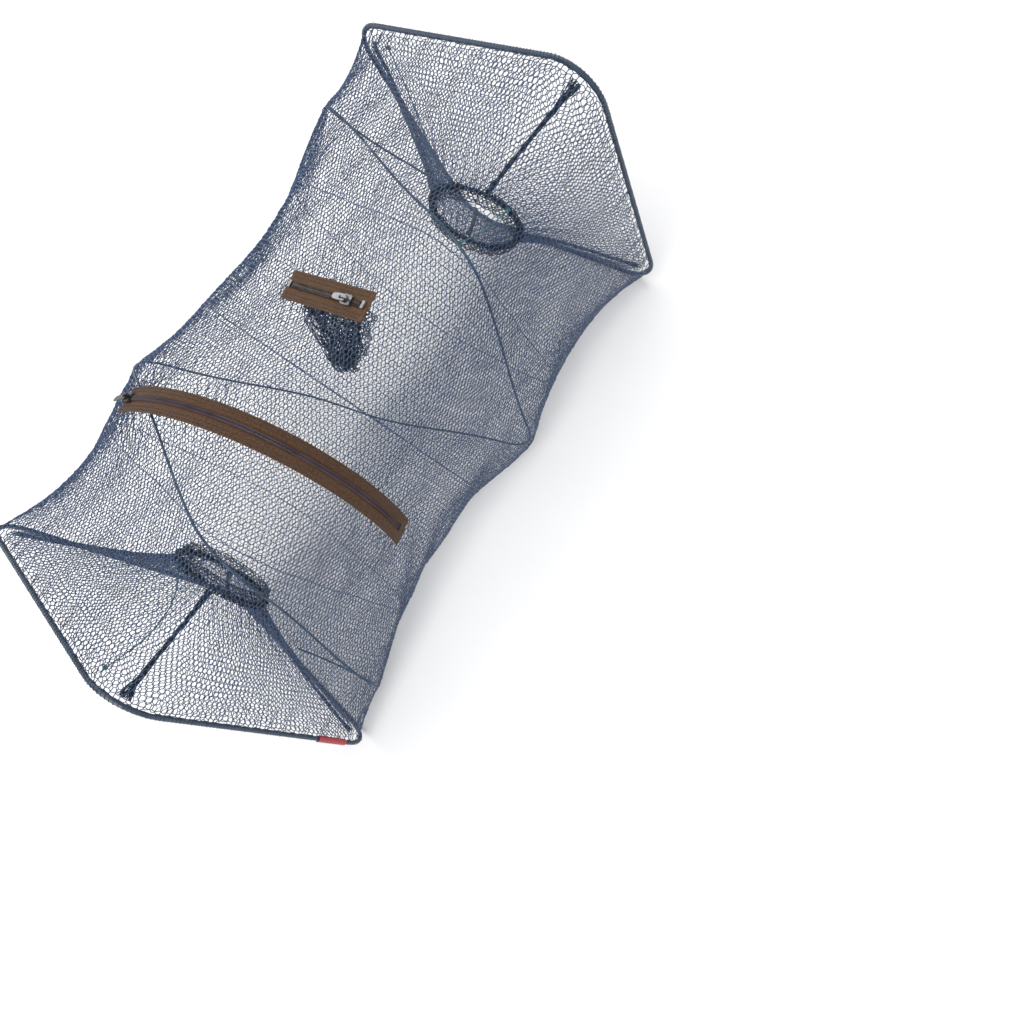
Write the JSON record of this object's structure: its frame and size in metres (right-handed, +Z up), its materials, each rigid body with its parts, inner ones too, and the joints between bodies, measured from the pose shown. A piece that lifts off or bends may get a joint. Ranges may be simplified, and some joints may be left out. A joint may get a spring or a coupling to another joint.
{
  "type": "folding crab trap",
  "caption": "Net tunnel trap on a square coil spring between two wire end frames, with a funnel mouth at each end, a zip to empty it and a zipped bait pouch.",
  "frame": {"origin": "centre of the trap's footprint, on the ground under the end frames", "axes": "+X along the tunnel from the rear frame (the one with the red sleeve) to the front frame, +Z up, -Y to the near side where the catch zip comes down"},
  "size_m": [0.4639, 0.2738, 0.2516],
  "materials": {
    "frame_wire": "thin steel wire under a smooth blue-grey coating, lashed with the net's own cord",
    "joint_sleeve": "smooth deep red plastic over a crimp",
    "spring_wire": "dark coated spring wire",
    "net": "thin knitted polyethylene strands, dark navy, open hexagonal mesh",
    "mouth_net": "net gathered tight, almost black navy",
    "mouth_ring": "thin coated wire under gathered net",
    "twine": "thin twisted teal twine",
    "catch_tape": "woven brown polyester zip tape",
    "bait_tape": "woven brown polyester zip tape",
    "catch_teeth": "dark purple-brown nylon coil",
    "bait_teeth": "bright metal teeth",
    "dark_metal": "dark die-cast metal, rubbed at the edges",
    "bright_metal": "bright plated metal"
  },
  "bodies": {
    "rear_end": {"rear_frame": "frame_wire", "rear_frame_sleeve": "joint_sleeve", "body_net": "net", "spring_wire": "spring_wire", "rear_funnel_net": "net", "rear_funnel_seam_top_near": "mouth_net", "rear_funnel_seam_bottom_near": "mouth_net", "rear_funnel_seam_bottom_far": "mouth_net", "rear_funnel_seam_top_far": "mouth_net", "rear_mouth_twine": "twine"},
    "front_end": {"front_frame": "frame_wire", "front_funnel_net": "net", "front_funnel_seam_top_near": "mouth_net", "front_funnel_seam_bottom_near": "mouth_net", "front_funnel_seam_bottom_far": "mouth_net", "front_funnel_seam_top_far": "mouth_net", "front_mouth_twine": "twine", "front_mouth_tether": "twine"},
    "rear_mouth": {"rear_mouth_ring": "mouth_ring", "rear_mouth_collar": "mouth_net"},
    "front_mouth": {"front_mouth_ring": "mouth_ring", "front_mouth_collar": "mouth_net"},
    "catch_zip": {"catch_zip_tape_front": "catch_tape", "catch_zip_tape_rear": "catch_tape", "catch_zip_coil_front": "catch_teeth", "catch_zip_coil_rear": "catch_teeth", "catch_zip_start_stop": "dark_metal", "catch_zip_end_stop": "dark_metal"},
    "catch_zip_slider": {"catch_zip_slider": "dark_metal"},
    "catch_zip_pull": {"catch_zip_pull": "dark_metal"},
    "bait_zip": {"bait_zip_tape_front": "bait_tape", "bait_zip_tape_rear": "bait_tape", "bait_zip_coil_front": "bait_teeth", "bait_zip_coil_rear": "bait_teeth", "bait_zip_start_stop": "bright_metal", "bait_zip_end_stop": "bright_metal", "bait_pouch": "mouth_net"},
    "bait_zip_slider": {"bait_zip_slider": "bright_metal"},
    "bait_zip_pull": {"bait_zip_pull": "bright_metal"}
  },
  "joints": [
    {"name": "fold", "type": "slide", "parent": "rear_end", "child": "front_end", "axis": [-1, 0, 0], "range_m": [0, 0.394], "stiffness_N_per_m": 15, "springref_m": -0.27, "deforming": ["body_net", "spring_wire", "rear_funnel_net", "front_funnel_net", "rear_funnel_seam_top_near", "rear_funnel_seam_bottom_near", "rear_funnel_seam_bottom_far", "rear_funnel_seam_top_far", "front_funnel_seam_top_near", "front_funnel_seam_bottom_near", "front_funnel_seam_bottom_far", "front_funnel_seam_top_far", "rear_mouth_twine", "front_mouth_twine", "front_mouth_tether", "bait_pouch"]},
    {"name": "catch_zip_carry", "type": "hinge", "parent": "rear_end", "child": "catch_zip", "pos_m": [-0.15525, 0.24402, -0.00249], "axis": [0, -0.4845, -0.8748], "range_deg": [0, 23.63]},
    {"name": "bait_zip_carry", "type": "slide", "parent": "rear_end", "child": "bait_zip", "axis": [-1, 0, 0], "range_m": [0, 0.227]},
    {"name": "rear_mouth_fold", "type": "slide", "parent": "rear_end", "child": "rear_mouth", "axis": [-1, 0, 0], "range_m": [0, 0.0455]},
    {"name": "front_mouth_fold", "type": "hinge", "parent": "front_end", "child": "front_mouth", "pos_m": [0.1975, -0.14206, 0.11965], "axis": [0, 0, -1], "range_deg": [0, 18.1]},
    {"name": "catch_zip_run", "type": "hinge", "parent": "catch_zip", "child": "catch_zip_slider", "pos_m": [-0.1, 0.012, 0.126], "axis": [0.9168, 0.3493, -0.1935], "range_deg": [0, 106]},
    {"name": "catch_pull_lift", "type": "hinge", "parent": "catch_zip_slider", "child": "catch_zip_pull", "pos_m": [-0.08598, 0.04349, 0.24933], "axis": [0.9168, 0.3493, -0.1935], "range_deg": [0, 150]},
    {"name": "bait_zip_run", "type": "slide", "parent": "bait_zip", "child": "bait_zip_slider", "axis": [-0.1539, 0.9873, 0.0385], "range_m": [-0.0072, 0.049]},
    {"name": "bait_pull_lift", "type": "hinge", "parent": "bait_zip_slider", "child": "bait_zip_pull", "pos_m": [0.04726, -0.07289, 0.23525], "axis": [0.9881, 0.154, 0], "range_deg": [0, 150]}
  ],
  "couplings": [
    {"joint": "catch_zip_carry", "follows": "fold", "rad_per_m": 1.0425},
    {"joint": "bait_zip_carry", "follows": "fold", "ratio": 0.575},
    {"joint": "rear_mouth_fold", "follows": "fold", "ratio": 0.1142},
    {"joint": "front_mouth_fold", "follows": "fold", "rad_per_m": 0.79736}
  ]
}
